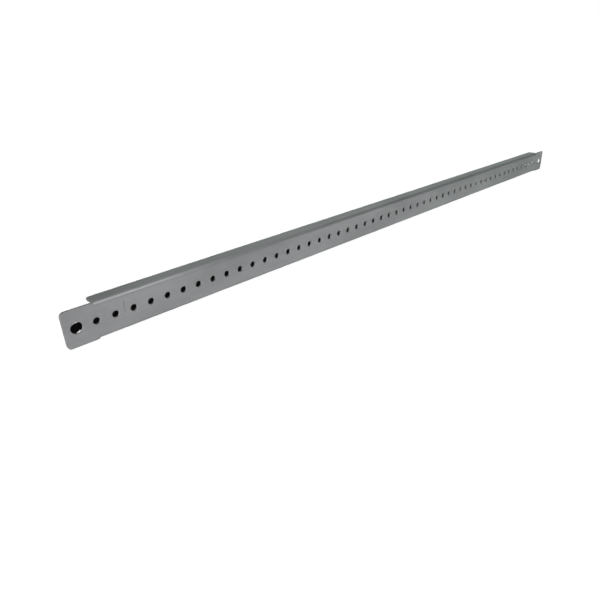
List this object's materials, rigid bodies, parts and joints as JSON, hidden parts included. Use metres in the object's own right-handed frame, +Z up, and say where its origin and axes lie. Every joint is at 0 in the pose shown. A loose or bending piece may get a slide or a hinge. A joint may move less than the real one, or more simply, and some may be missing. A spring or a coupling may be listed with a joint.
{
  "type": "door support rail",
  "caption": "Long shallow channel of bent zinc-coated sheet steel, its web punched with a row of round holes and running on as a flat rounded fixing tab at each end",
  "frame": {"origin": "middle of the rail's footprint, on the plane of the underside of the lower flange", "axes": "+X along the rail, from the end where the row starts one pitch from the fixing hole; -Y out of the front of the web; +Z up"},
  "size_m": [0.686, 0.0116, 0.025],
  "materials": {
    "zinc_coated_steel": "matt grey zinc coating, faintly mottled along the rolling direction"
  },
  "bodies": {
    "root": {"support_rail": "zinc_coated_steel"}
  },
  "joints": []
}
